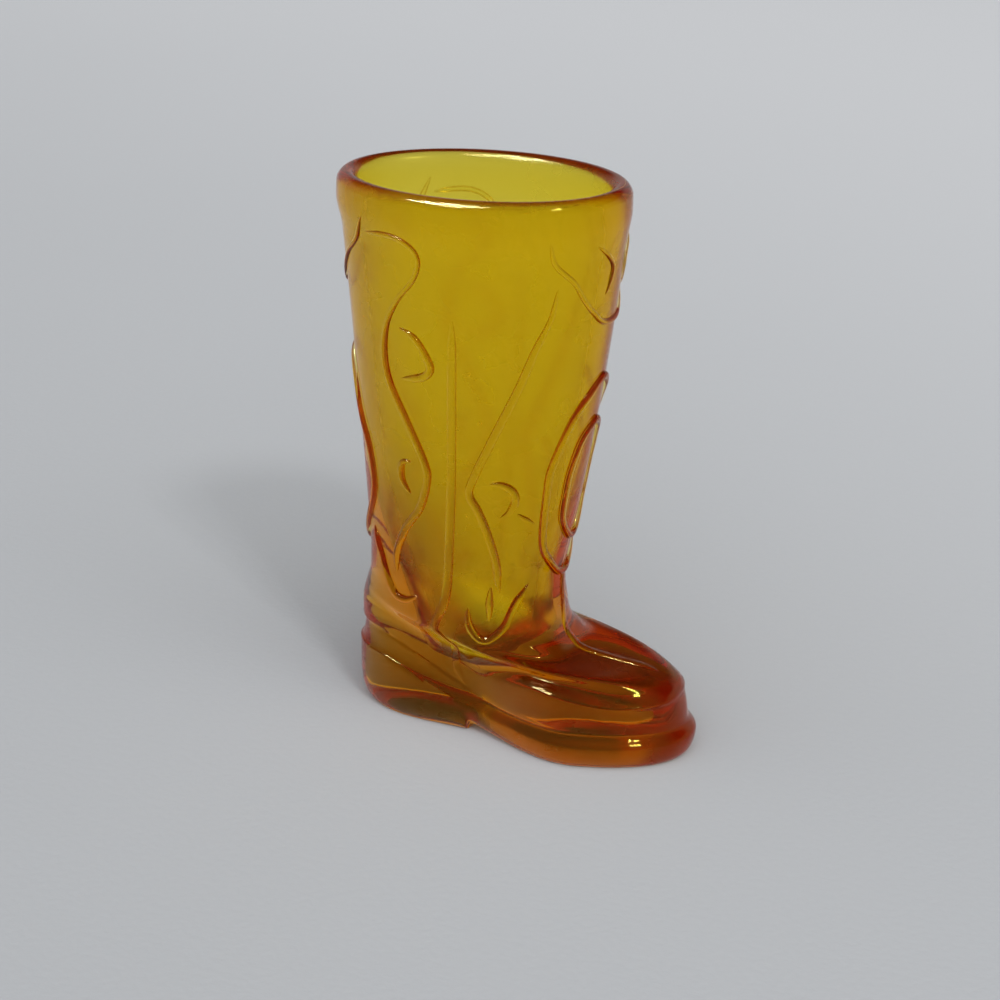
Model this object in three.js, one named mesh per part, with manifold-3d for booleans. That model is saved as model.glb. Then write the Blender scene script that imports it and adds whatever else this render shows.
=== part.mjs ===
// Boot shot glass: a pressed amber glass in the shape of a tall western boot.
// Units are millimetres, +Z is up, +X points to the toe and the boot is symmetric about y = 0.
// While the sections are laid out, x is measured forward from the back of the heel.

import * as THREE from 'three';
import { mergeVertices } from 'three/addons/utils/BufferGeometryUtils.js';
import Module from 'manifold-3d';

// Leg: the oval sections at the rim, the calf and the ankle
const HEIGHT = 89.5;
const RIM_TILT = 1.1;
const RIM_LENGTH = 46.1;
const RIM_WIDTH = 30.8;
const RIM_OVERHANG = 2.85;
const CALF_HEIGHT = 60;
const CALF_LENGTH = 40.15;
const CALF_WIDTH = 26.4;
const CALF_OVERHANG = 0.2;
const ANKLE_HEIGHT = 28;
const ANKLE_LENGTH = 32.3;
const ANKLE_WIDTH = 21.6;
const ANKLE_INSET = 2.1;

// Lip: the thick rounded bead round the rim
const LIP_HEIGHT = 10;
const LIP_PROUD = 0.35;
const LIP_WALL = 3.4;
const LIP_ROUND = 2;
const LIP_SHOULDER = 4;

// Well: the drinking space pressed into the leg, whose back leans forward towards the floor
const WALL = 3.4;
const WALL_GROWTH = 1.2;
const FLOOR_HEIGHT = 11;
const FLOOR_ROUND = 6;
const LEAN_TOP = 42;
const LEAN_BACK = 8.5;

// Sole and heel: breadths are those of the ovals that the heel end, waist and toe end follow
const SOLE_LENGTH = 57;
const HEEL_OVAL = 26;
const WAIST_OVAL = 18.2;
const TOE_OVAL = 28.6;
const WAIST_FROM_HEEL = 23.9;
const BALL_START = 22.2;
const BALL_FROM_HEEL = 42.2;
const HEEL_LENGTH = 22.1;
const HEEL_CREST = 10.3;
const SOLE_CREST = 3.6;
const CREST_DROP_START = 5.7;
const CREST_DROP_END = 28.5;
const EDGE_INSET = 1.5;
const EDGE_LIFT = 1.5;
const ARCH_RISE = 1.4;
const ARCH_LENGTH = 10;

// Upper: the foot above the welt crease
const WELT_STEP = 1.1;
const WELT_RISE = 2.1;
const TOE_NOTCH = 1.4;
const LEDGE_RISE = 3.4;
const TOE_SETBACK = 2.3;
const TOE_BOX_HEIGHT = 9.6;
const CROWN_SETBACK = 13.2;
const CROWN_HEIGHT = 13.9;
const TOE_BOX_START = 24;
const TOE_BOX_FULL = 36;
const TOE_BOX_END = 51;
const ANKLE_BLEND = 3.5;
const COUNTER_STEP = 0.8;
const COUNTER_INSET = 0.4;

// Raised ornament lines and seams
const LINE_WIDTH = 0.9;
const LINE_HEIGHT = 0.35;
const SEAM_WIDTH = 0.8;
const SEAM_HEIGHT = 0.25;
const SEAT_GAP = 0.1;

// Shape weights of the curves between the sizes above
const INSTEP_POWER = 0.64;
const DOME_POWER = 0.9;
const BLUNT_POWER = 0.5;
const LEAN_POWER = 1.5;
const FLOOR_SHARES = { back: 0.25, front: 1.35, side: 0.5 };
const ARC_PER_DEGREE = 0.3;

// Facets round a section, rows up each stretch of wall, and the step along an ornament line
const SIDES = 48;
const LEG_ROWS = 12;
const WELL_ROWS = 6;
const LIP_ROWS = 8;
const FLOOR_ROWS = 5;
const ARCH_ROWS = 6;
const LINE_STEP = 1.5;

const wasm = await Module();
wasm.setup();

const { lerp, smoothstep, degToRad } = THREE.MathUtils;
const ankleLine = ANKLE_HEIGHT - ANKLE_BLEND;
const lipLine = HEIGHT - LIP_HEIGHT;
const lipWidest = HEIGHT - LIP_SHOULDER;

// A section of the boot: its back and front points in side view, its half width, how far it
// follows the outline of the sole, how far it stands in from that outline, how blunt its front
// end is, how far its sides are lifted along the toe box, and how square its back end is
function section(backX, backZ, frontX, frontZ, half, foot = 0, inset = 0, blunt = 0, lift = 0,
  square = 0) {
  return { backX, backZ, frontX, frontZ, half, foot, inset, blunt, lift, square };
}

// Value of the parabola through three heights
function throughThree(z, low, middle, high) {
  const [z0, v0] = low;
  const [z1, v1] = middle;
  const [z2, v2] = high;
  const slope = (v1 - v0) / (z1 - z0);
  const bend = ((v2 - v1) / (z2 - z1) - slope) / (z2 - z0);
  return v0 + slope * (z - z0) + bend * (z - z0) * (z - z1);
}

// Height of a section's back: the rim is a little lower at the back than at the front
function tilted(z) {
  return z - RIM_TILT * smoothstep(z, lipLine, lipWidest);
}

// Outside of the leg at height z: upright below the ankle, and swelling by LIP_PROUD at the lip
function legSection(z, wall = 0) {
  const at = (ankle, calf, rim) => throughThree(
    Math.max(z, ANKLE_HEIGHT), [ANKLE_HEIGHT, ankle], [CALF_HEIGHT, calf], [lipWidest, rim]);
  const swell = LIP_PROUD * smoothstep(z, lipLine, lipWidest) - wall;
  const rimFront = RIM_LENGTH - RIM_OVERHANG - LIP_PROUD;
  const back = at(ANKLE_INSET, -CALF_OVERHANG, LIP_PROUD - RIM_OVERHANG);
  const front = at(ANKLE_INSET + ANKLE_LENGTH, CALF_LENGTH - CALF_OVERHANG, rimFront);
  const half = at(ANKLE_WIDTH / 2, CALF_WIDTH / 2, RIM_WIDTH / 2 - LIP_PROUD);
  return section(back - swell, tilted(z), front + swell, z, half + swell);
}

// Breadth of the sole's outline this far from the heel, before its ends are rounded
function soleOval(fromHeel) {
  const toWaist = (WAIST_OVAL - HEEL_OVAL) * smoothstep(fromHeel, 0, WAIST_FROM_HEEL);
  const toBall = (TOE_OVAL - WAIST_OVAL) * smoothstep(fromHeel, BALL_START, BALL_FROM_HEEL);
  return HEEL_OVAL + toWaist + toBall;
}

// Point of a section at an angle from the toe, positive on the left side
function sectionPoint(s, angle) {
  const t = (1 + Math.cos(angle)) / 2;
  const fromHeel = t * SOLE_LENGTH;
  const toeBox = smoothstep(fromHeel, TOE_BOX_START, TOE_BOX_FULL);
  const inset = s.blunt > 0 ? lerp(WELT_STEP, s.inset, toeBox) : s.inset;
  const half = lerp(s.half, soleOval(fromHeel) / 2 - inset, s.foot);
  const climb = lerp(t, smoothstep(fromHeel, CREST_DROP_START, CREST_DROP_END), s.foot);
  const x = lerp(s.backX, s.frontX, t);
  const blunt = s.blunt * smoothstep(t, 0.5, 1) + s.square * (1 - smoothstep(t, 0, 0.5));
  const side = Math.sign(Math.sin(angle)) * Math.abs(Math.sin(angle)) ** lerp(1, BLUNT_POWER, blunt);
  const lift = s.lift * toeBox * (1 - smoothstep(fromHeel, TOE_BOX_FULL, TOE_BOX_END));
  return new THREE.Vector3(x, half * side, lerp(s.backZ, s.frontZ, climb) + lift);
}

function ring(s) {
  return Array.from({ length: SIDES }, (_, i) => sectionPoint(s, (2 * Math.PI * i) / SIDES));
}

// Sole and heel block: flat base edge, rounded side, crest at its widest, and welt crease
function soleSections() {
  const foot = 1;
  const side = EDGE_INSET / 3;
  const base = section(EDGE_INSET, 0, SOLE_LENGTH - EDGE_INSET, 0, 0, foot, EDGE_INSET);
  const low = section(side, EDGE_LIFT, SOLE_LENGTH - side, EDGE_LIFT, 0, foot, side);
  const crest = section(0, HEEL_CREST, SOLE_LENGTH, SOLE_CREST, 0, foot);
  return [base, low, crest, weltCrease()];
}

function weltCrease() {
  const foot = 1;
  return section(COUNTER_STEP, HEEL_CREST + LEDGE_RISE, SOLE_LENGTH - TOE_NOTCH,
    SOLE_CREST + WELT_RISE, 0, foot, WELT_STEP);
}

// Upper of the foot from the welt crease over the toe box, crown and instep to the ankle line.
// The toe box is a quarter oval in side view with a shoulder along each side, and the instep is
// a hollow curve up to the leg.
function upperSections() {
  const crease = weltCrease();
  const ankle = legSection(ankleLine);
  const toeX = SOLE_LENGTH - TOE_SETBACK;
  const crownX = SOLE_LENGTH - CROWN_SETBACK;
  const half = ANKLE_WIDTH / 2;
  const backZ = (rise) => lerp(crease.backZ, ankleLine, rise);
  const backX = (rise) => lerp(COUNTER_INSET, ankle.backX, smoothstep(rise, 0.3, 1));
  const dome = (degrees) => [
    lerp(crownX, toeX, Math.cos(degToRad(degrees)) ** DOME_POWER),
    lerp(TOE_BOX_HEIGHT, CROWN_HEIGHT, Math.sin(degToRad(degrees)) ** DOME_POWER),
  ];
  const instep = (degrees) => [
    lerp(crownX, ankle.frontX, Math.cos(degToRad(degrees)) ** INSTEP_POWER),
    lerp(ankleLine, CROWN_HEIGHT, Math.sin(degToRad(degrees)) ** INSTEP_POWER),
  ];
  const side = [(crease.frontX + toeX) / 2, (crease.frontZ + TOE_BOX_HEIGHT) / 2];
  // Each row: front point, share of the way up the back, share of the sole's outline, inset on
  // the toe box, bluntness and lift
  const rows = [
    [side, 0.07, 1, 1, 0.1, 0.4],
    [dome(0), 0.13, 1, 1.05, 0.25, 1.3],
    [dome(7), 0.17, 1, 1.3, 0.35, 1.7],
    [dome(14), 0.2, 0.97, 2.2, 0.38, 1.75],
    [dome(26), 0.26, 0.9, 3.2, 0.4, 1.3],
    [dome(45), 0.35, 0.72, 3.4, 0.5, 0.6],
    [dome(66), 0.45, 0.45, 2.4, 0.6, 0.2],
    [dome(90), 0.55, 0.2, 1.1, 0.8, 0],
    [instep(65), 0.66, 0.05, 1.1, 0.9, 0],
    [instep(45), 0.77, 0, 1.1, 0.9, 0],
    [instep(25), 0.88, 0, 1.1, 0.5, 0],
  ];
  const upper = rows.map(([front, rise, ...shape]) =>
    section(backX(rise), backZ(rise), ...front, half, ...shape));
  return [crease, ...upper, ankle];
}

// Outside of the leg between two heights, as evenly spaced sections
function legSections(from, to, steps) {
  return Array.from({ length: steps + 1 }, (_, i) => legSection(lerp(from, to, i / steps)));
}

// Lip: half an oval in cross-section, from its outside over the crest to the inner wall
function lipSections(steps) {
  return Array.from({ length: steps + 1 }, (_, i) => {
    const turn = (Math.PI * i) / steps;
    const inset = (LIP_WALL / 2) * (1 - Math.cos(turn));
    const s = legSection(lipWidest, inset);
    const z = HEIGHT - LIP_ROUND * (1 - Math.sin(turn));
    return { ...s, backZ: z - RIM_TILT, frontZ: z };
  });
}

// Inside of the well: WALL thick under the lip and thicker downwards. Below LEAN_TOP its back
// leans forward and grows squarer, as the plunger's does.
function wellSection(z) {
  const lip = (LIP_WALL + LIP_PROUD - WALL) * smoothstep(z, lipLine, lipWidest);
  const growth = WALL_GROWTH * (1 - smoothstep(z, FLOOR_HEIGHT, CALF_HEIGHT));
  const s = legSection(z, WALL + lip + growth);
  const depth = Math.max(0, (LEAN_TOP - z) / (LEAN_TOP - FLOOR_HEIGHT)) ** LEAN_POWER;
  return { ...s, backX: s.backX + LEAN_BACK * depth, square: depth };
}

function wellSections(from, to, steps) {
  return Array.from({ length: steps + 1 }, (_, i) => wellSection(lerp(from, to, i / steps)));
}

// Floor of the well: a rounded corner that is long in front and short at the back
function floorSections(steps) {
  const top = wellSection(FLOOR_HEIGHT + FLOOR_ROUND);
  return Array.from({ length: steps + 1 }, (_, i) => {
    const turn = (0.5 * Math.PI * i) / steps;
    const inset = FLOOR_ROUND * (1 - Math.cos(turn));
    const z = FLOOR_HEIGHT + FLOOR_ROUND * (1 - Math.sin(turn));
    const { back, front, side } = FLOOR_SHARES;
    return { ...top, backX: top.backX + back * inset, frontX: top.frontX - front * inset,
      backZ: z, frontZ: z, half: top.half - side * inset };
  });
}

// Closed surface through rings of equal length. A looped loft joins its last ring to its first;
// otherwise both ends are closed by strips that run straight across from side to side.
function loft(rings, looped = false) {
  const sides = rings[0].length;
  const positions = rings.flat().flatMap((p) => [p.x, p.y, p.z]);
  const index = [];
  const spans = looped ? rings.length : rings.length - 1;
  for (let r = 0; r < spans; r += 1) {
    const low = r * sides;
    const high = ((r + 1) % rings.length) * sides;
    for (let i = 0; i < sides; i += 1) {
      const j = (i + 1) % sides;
      index.push(low + i, low + j, high + j, low + i, high + j, high + i);
    }
  }
  if (!looped) {
    const last = (rings.length - 1) * sides;
    for (const [a, b, c] of acrossStrip(sides)) {
      index.push(a, c, b, last + a, last + b, last + c);
    }
  }
  const geometry = new THREE.BufferGeometry();
  geometry.setAttribute('position', new THREE.Float32BufferAttribute(positions, 3));
  geometry.setIndex(signedVolume(positions, index) < 0 ? index.reverse() : index);
  return geometry;
}

// Triangles that fill a ring by joining each point to the one straight across from it
function acrossStrip(sides) {
  const triangles = [[0, 1, sides - 1]];
  for (let i = 1; i < sides / 2 - 1; i += 1) {
    triangles.push([i, i + 1, sides - i - 1], [i, sides - i - 1, sides - i]);
  }
  triangles.push([sides / 2 - 1, sides / 2, sides / 2 + 1]);
  return triangles;
}

function signedVolume(positions, index) {
  const corner = (i) => new THREE.Vector3().fromArray(positions, index[i] * 3);
  let sum = 0;
  for (let i = 0; i < index.length; i += 3) {
    sum += corner(i).dot(corner(i + 1).cross(corner(i + 2)));
  }
  return sum / 6;
}

function toSolid(geometry) {
  const bare = geometry.clone();
  bare.deleteAttribute('normal');
  bare.deleteAttribute('uv');
  const merged = mergeVertices(bare);
  const vertProperties = merged.attributes.position.array;
  return new wasm.Manifold(new wasm.Mesh({
    numProp: 3, vertProperties, triVerts: new Uint32Array(merged.index.array),
  }));
}

function toGeometry(solid) {
  const { vertProperties, triVerts } = solid.getMesh();
  const geometry = new THREE.BufferGeometry();
  geometry.setAttribute('position', new THREE.BufferAttribute(vertProperties, 3));
  geometry.setIndex(new THREE.BufferAttribute(triVerts, 1));
  return geometry;
}

// The sole and the heel are parted by the heel's upright front face. In front of it the sole's
// underside is raised into an arch that runs down to the ground in a soft curve.
function soleAndHeel() {
  const block = toSolid(loft(soleSections().map(ring)));
  const span = 2 * SOLE_LENGTH;
  const behind = new THREE.BoxGeometry(span, span, span).translate(HEEL_LENGTH - span / 2, 0, 0);
  const outline = new THREE.Shape();
  outline.moveTo(HEEL_LENGTH - ARCH_RISE, -ARCH_RISE);
  outline.lineTo(HEEL_LENGTH - ARCH_RISE, ARCH_RISE);
  outline.lineTo(HEEL_LENGTH, ARCH_RISE);
  outline.quadraticCurveTo(HEEL_LENGTH + ARCH_LENGTH / 2, 0, HEEL_LENGTH + ARCH_LENGTH, 0);
  outline.lineTo(HEEL_LENGTH + ARCH_LENGTH, -ARCH_RISE);
  const arch = new THREE.ExtrudeGeometry(outline, {
    depth: TOE_OVAL, bevelEnabled: false, curveSegments: ARCH_ROWS,
  }).rotateX(Math.PI / 2).translate(0, TOE_OVAL / 2, 0);
  const heel = block.intersect(toSolid(behind));
  const sole = block.subtract(toSolid(behind)).subtract(toSolid(arch));
  return { heel: toGeometry(heel), sole: toGeometry(sole) };
}

// Outer skin that the raised lines lie on, from the welt crease to the lip
const skin = [...upperSections(), ...legSections(ankleLine, lipLine, LEG_ROWS).slice(1),
  ...legSections(lipLine, lipWidest, 2).slice(1)];

// Point of the skin at an angle and a height, between the two sections that enclose it
function skinPoint(angle, z) {
  const points = skin.map((s) => sectionPoint(s, angle));
  const upper = points.findIndex((p) => p.z >= z);
  const k = upper < 0 ? points.length - 1 : Math.max(upper, 1);
  const share = (z - points[k - 1].z) / (points[k].z - points[k - 1].z);
  return points[k - 1].clone().lerp(points[k], share);
}

function skinNormal(angle, z) {
  const turn = degToRad(2);
  const rise = 0.5;
  const around = skinPoint(angle + turn, z).sub(skinPoint(angle - turn, z));
  const upward = skinPoint(angle, z + rise).sub(skinPoint(angle, z - rise));
  return around.cross(upward).normalize();
}

// Places on the leg are pairs: degrees round from the toe, and percent of the way
// from the ankle line up to the lip line
function heightOf(percent) {
  return lerp(ankleLine, lipLine, percent / 100);
}

// Raised line along a smooth route on the skin: a low bar, narrower on top than at its foot
function raisedLine(route, { width = LINE_WIDTH, height = LINE_HEIGHT, closed = false } = {}) {
  const knots = route.map(([degrees, percent]) =>
    new THREE.Vector3(degrees * ARC_PER_DEGREE, heightOf(percent), 0));
  const curve = new THREE.CatmullRomCurve3(knots, closed, 'centripetal');
  const steps = Math.max(4, Math.round(curve.getLength() / LINE_STEP));
  const places = curve.getSpacedPoints(steps).slice(0, closed ? steps : steps + 1);
  const at = (p) => skinPoint(degToRad(p.x / ARC_PER_DEGREE), p.y);
  const rings = places.map((p, i) => {
    const next = closed ? (i + 1) % steps : Math.min(i + 1, steps);
    const before = closed ? (i + steps - 1) % steps : Math.max(i - 1, 0);
    const normal = skinNormal(degToRad(p.x / ARC_PER_DEGREE), p.y);
    const along = at(places[next]).sub(at(places[before])).normalize();
    const across = normal.clone().cross(along).normalize();
    const corner = (side, lift) =>
      at(p).addScaledVector(across, side * width).addScaledVector(normal, lift);
    return [
      corner(-0.5, SEAT_GAP), corner(-0.25, SEAT_GAP + height),
      corner(0.25, SEAT_GAP + height), corner(0.5, SEAT_GAP),
    ];
  });
  return loft(rings, closed);
}

// The two halves of a figure that is centred on the front or the back of the leg
function mirroredRoute(half, centre) {
  const other = half.slice().reverse().map(([degrees, percent]) => [2 * centre - degrees, percent]);
  return [...half, ...other];
}

const otherSide = (route) => route.map(([degrees, percent]) => [-degrees, percent]);

// Leaf figures on the front and back, closed loops drawn as one half from top to bottom
const FRONT_LEAF = [[4, 65], [13, 62], [24, 55], [33, 42], [34, 34], [31, 18], [22, 11], [8, 6]];
const FRONT_LEAF_INNER = [[4, 52], [14, 48], [19, 40], [20, 33], [18, 24], [6, 17.5]];
const BACK_LEAF = [[176, 65], [162, 61], [150, 48], [140, 39], [137, 28], [145, 19], [160, 11],
  [173, 6]];

// Collars: wide V figures under the rim, drawn as one half towards the middle
const FRONT_COLLAR = [[47, 107], [44, 101], [34, 95.5], [27, 90], [20, 86], [10, 82.5]];
const BACK_COLLAR = [[128, 108], [135, 101], [145, 96], [158, 89], [170, 84]];

// Figures that both sides of the leg carry
const SIDE_FIGURES = {
  front_scroll: [[42, 94], [44, 86], [50, 77], [56, 66], [64, 54], [74, 38.5], [76, 33], [71, 28],
    [65, 21], [58, 11], [55, 2]],
  front_stem: [[60, 4], [61.5, -6.5]],
  front_cup: [[73.5, -3], [73.5, -8], [70, -12], [62.5, -11.5], [52.5, -8], [45, -1.5], [36, 4.5]],
  front_curl: [[66, 36.5], [60, 36.5], [54, 34.5], [52, 31.5], [54.5, 28], [59, 26]],
  front_tendril: [[50, 27.5], [46, 26], [39, 24]],
  front_plume: [[23, 105], [14, 101.5], [9.5, 98], [11, 93], [13, 90.5]],
  rear_scroll: [[127, 104], [112, 105], [103, 103], [100, 99], [103, 93.5], [111, 87], [118, 79],
    [120.5, 70], [118, 62], [109, 52], [99, 40], [98, 34.5], [102, 26], [111, 18.5], [118, 10],
    [119, 3]],
  rear_cup: [[142, 14], [134, 7], [127.5, 0.5], [120, -4], [112, -4.5], [104, -2.5]],
  rear_curl_upper: [[111, 79], [103, 77], [97, 71.5], [96, 68.5], [100, 66], [111, 64]],
  rear_curl_lower: [[107, 39.5], [111.5, 39], [113.5, 36.5], [112.5, 33], [107.5, 29.5]],
};

// Seams: a low rib down each side from the calf to the welt, and one down the front over the vamp
const SIDE_SEAM = [[86, 84], [86, 62], [85, 20], [86, 0], [97, -12]];
const FRONT_SEAM = [[0, 2], [0, -10], [0, -17]];

const glass = () => new THREE.MeshStandardMaterial({
  color: 0xb98a0c, roughness: 0.06, metalness: 0, transparent: true, opacity: 0.75,
});
const thickGlass = () => new THREE.MeshStandardMaterial({
  color: 0x8a430c, roughness: 0.06, metalness: 0, transparent: true, opacity: 0.9,
});

const boot = new THREE.Group();

function addPiece(name, geometry, material) {
  const mesh = new THREE.Mesh(geometry, material);
  mesh.name = name;
  boot.add(mesh);
}

const lip = [...legSections(lipLine, lipWidest, 2), ...lipSections(LIP_ROWS),
  ...wellSections(lipWidest, lipLine, 2)];
const leg = [...legSections(ankleLine, lipLine, LEG_ROWS),
  ...wellSections(lipLine, ankleLine, WELL_ROWS)];
const foot = [...upperSections(), ...wellSections(ankleLine, FLOOR_HEIGHT + FLOOR_ROUND, 2),
  ...floorSections(FLOOR_ROWS).slice(1)];
const { heel, sole } = soleAndHeel();

addPiece('rim_bead', loft(lip.map(ring), true), glass());
addPiece('leg_wall', loft(leg.map(ring), true), glass());
addPiece('foot', loft(foot.map(ring)), thickGlass());
addPiece('sole', sole, thickGlass());
addPiece('heel', heel, thickGlass());

addPiece('front_leaf_outer', raisedLine(mirroredRoute(FRONT_LEAF, 0), { closed: true }), glass());
addPiece('front_leaf_inner', raisedLine(mirroredRoute(FRONT_LEAF_INNER, 0), { closed: true }),
  glass());
addPiece('back_leaf', raisedLine(mirroredRoute(BACK_LEAF, 180), { closed: true }), glass());
addPiece('front_collar', raisedLine(mirroredRoute(FRONT_COLLAR, 0)), glass());
addPiece('back_collar', raisedLine(mirroredRoute(BACK_COLLAR, 180)), glass());
for (const [name, route] of Object.entries(SIDE_FIGURES)) {
  addPiece(`${name}_left`, raisedLine(route), glass());
  addPiece(`${name}_right`, raisedLine(otherSide(route)), glass());
}
const seamSize = { width: SEAM_WIDTH, height: SEAM_HEIGHT };
addPiece('side_seam_left', raisedLine(SIDE_SEAM, seamSize), glass());
addPiece('side_seam_right', raisedLine(otherSide(SIDE_SEAM), seamSize), glass());
addPiece('front_seam', raisedLine(FRONT_SEAM, seamSize), glass());

// Origin under the middle of the boot's overall length
boot.position.x = (RIM_OVERHANG - SOLE_LENGTH) / 2;

export default boot;
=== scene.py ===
# %% [markdown]
# # A pressed-glass boot
#
# The real thing is a shot glass in the shape of a tall western boot. Molten amber glass is
# dropped into a hinged mould and a plunger presses the well, so the boot is one piece: thin
# yellow walls round the well, and a solid orange-brown foot under it. In Blender that means one
# closed mesh. If the leg, the foot and the raised lines were separate meshes, every face
# between them would bend the light once more, and the glass would look cracked.
#
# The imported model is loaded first. It gives the sizes, and nothing is read from anywhere else.

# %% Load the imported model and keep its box
import math

import bpy
import numpy as np
from mathutils import Matrix, Vector


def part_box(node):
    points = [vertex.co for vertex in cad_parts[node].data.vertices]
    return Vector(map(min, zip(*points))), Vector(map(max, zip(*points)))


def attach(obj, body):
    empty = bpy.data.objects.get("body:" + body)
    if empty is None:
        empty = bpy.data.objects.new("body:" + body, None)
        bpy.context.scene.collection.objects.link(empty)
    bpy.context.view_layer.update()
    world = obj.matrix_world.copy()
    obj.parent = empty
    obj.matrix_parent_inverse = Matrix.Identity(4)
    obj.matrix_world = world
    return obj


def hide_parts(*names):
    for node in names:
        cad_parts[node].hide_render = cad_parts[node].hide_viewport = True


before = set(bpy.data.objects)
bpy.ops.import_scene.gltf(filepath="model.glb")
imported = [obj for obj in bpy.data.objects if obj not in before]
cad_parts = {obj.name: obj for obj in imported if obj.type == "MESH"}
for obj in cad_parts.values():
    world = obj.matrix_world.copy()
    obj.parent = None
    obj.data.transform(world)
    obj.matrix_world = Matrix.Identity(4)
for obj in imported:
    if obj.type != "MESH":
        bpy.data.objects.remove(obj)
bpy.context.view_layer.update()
MM = 0.001


def node_span(name):
    """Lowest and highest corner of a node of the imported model, in millimetres."""
    low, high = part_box(name)
    return np.array(low) / MM, np.array(high) / MM


rim_low, rim_high = node_span("rim_bead")
heel_low, heel_high = node_span("heel")
leg_low, _ = node_span("leg_wall")
_, sole_high = node_span("sole")

# %% [markdown]
# ## The camera
#
# A photograph fixes the camera by the outline of the thing in it. The camera could be moved by
# eye until the picture fits. Here the outline of the boot gave the direction, the distance and
# the lens, so they are plain numbers. The picture's middle is a little off the lens axis,
# because the photograph was cropped square, so the sensor is shifted by that much.

# %% Camera at the photograph's viewpoint
LOOK_AT = Vector((-6.675, 0.0, 44.5)) * MM
CAMERA_DISTANCE = 359.1 * MM
CAMERA_TURN = math.radians(23.6)
CAMERA_RISE = math.radians(22.7)
CAMERA_ROLL = math.radians(0.6)
PIXELS_PER_MM = 6.46
PICTURE_WIDTH = 1000
AXIS_PIXEL = (481.2, 452.6)


def camera_axes(turn, rise, roll):
    """Right, up and backward directions of a camera that stands round and above the boot.

    Backward points from the boot to the camera. The roll turns right and up about it.
    """
    level = Vector((math.cos(turn), math.sin(turn), 0.0))
    outward = Vector((math.sin(turn), -math.cos(turn), 0.0))
    lift = Vector((0.0, 0.0, math.cos(rise))) - outward * math.sin(rise)
    backward = Vector((0.0, 0.0, math.sin(rise))) + outward * math.cos(rise)
    right = level * math.cos(roll) + lift * math.sin(roll)
    up = lift * math.cos(roll) - level * math.sin(roll)
    return right, up, backward


right, up, backward = camera_axes(CAMERA_TURN, CAMERA_RISE, CAMERA_ROLL)
lens = bpy.data.cameras.new("camera")
lens.sensor_width = 36.0
lens.lens = lens.sensor_width * PIXELS_PER_MM * (CAMERA_DISTANCE / MM) / PICTURE_WIDTH
lens.shift_x = 0.5 - AXIS_PIXEL[0] / PICTURE_WIDTH
lens.shift_y = AXIS_PIXEL[1] / PICTURE_WIDTH - 0.5
lens.clip_start = 0.01
camera = bpy.data.objects.new("camera", lens)
camera.matrix_world = Matrix.Translation(LOOK_AT + backward * CAMERA_DISTANCE) @ Matrix(
    (right, up, backward)).transposed().to_4x4()
bpy.context.scene.collection.objects.link(camera)
bpy.context.scene.camera = camera
print("lens %.1f mm, shift %.3f %.3f" % (lens.lens, lens.shift_x, lens.shift_y))

# %% [markdown]
# ## Shader maths as expressions
#
# Node trees are easier to read as formulas. A `Value` wraps one output socket, and adding or
# multiplying two of them adds the Math node that does it. Every other node comes from
# `Tree.node`, which takes the node's type, its settings and what goes into its sockets. Two
# short methods name the nodes that come up most: a mix of two colours, and what kind of ray
# is looking.

# %% A small class for node expressions


class Value:
    """An output socket that can be used in an expression."""

    def __init__(self, tree, socket):
        self.tree = tree
        self.socket = socket

    def _math(self, operation, *others):
        inputs = dict(enumerate((self,) + others))
        return self.tree.node("ShaderNodeMath", {"operation": operation}, inputs)

    def __add__(self, other):
        return self._math("ADD", other)

    def __mul__(self, other):
        return self._math("MULTIPLY", other)

    def __sub__(self, other):
        return self._math("SUBTRACT", other)

    def __rsub__(self, other):
        return self.tree.node("ShaderNodeMath", {"operation": "SUBTRACT"}, {0: other, 1: self})

    __radd__ = __add__
    __rmul__ = __mul__

    def above(self, low, high):
        """0 where the value is under low, 1 over high, and a smooth step between."""
        settings = {"interpolation_type": "SMOOTHSTEP"}
        inputs = {"Value": self, "From Min": low, "From Max": high}
        return self.tree.node("ShaderNodeMapRange", settings, inputs)


class Tree:
    """The node tree of one material or world, emptied."""

    def __init__(self, owner):
        owner.use_nodes = True
        self.tree = owner.node_tree
        self.tree.nodes.clear()

    def node(self, kind, settings=None, inputs=None, output=0):
        """Adds a node, sets its properties, fills or links its sockets and wraps one output."""
        made = self.tree.nodes.new(kind)
        for name, setting in (settings or {}).items():
            setattr(made, name, setting)
        for key, given in (inputs or {}).items():
            if isinstance(given, Value):
                self.tree.links.new(given.socket, made.inputs[key])
            else:
                made.inputs[key].default_value = given
        return Value(self, made.outputs[output]) if made.outputs else None

    def blend(self, share, low, high):
        """Colour that goes from low to high as share goes from 0 to 1."""
        return self.node("ShaderNodeMix", {"data_type": "RGBA"}, {0: share, 6: low, 7: high}, output=2)

    def ray(self, kind):
        """A number of the Light Path node, such as whether a ray was mirrored."""
        return self.node("ShaderNodeLightPath", output=kind)


print("shader expressions ready")
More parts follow.
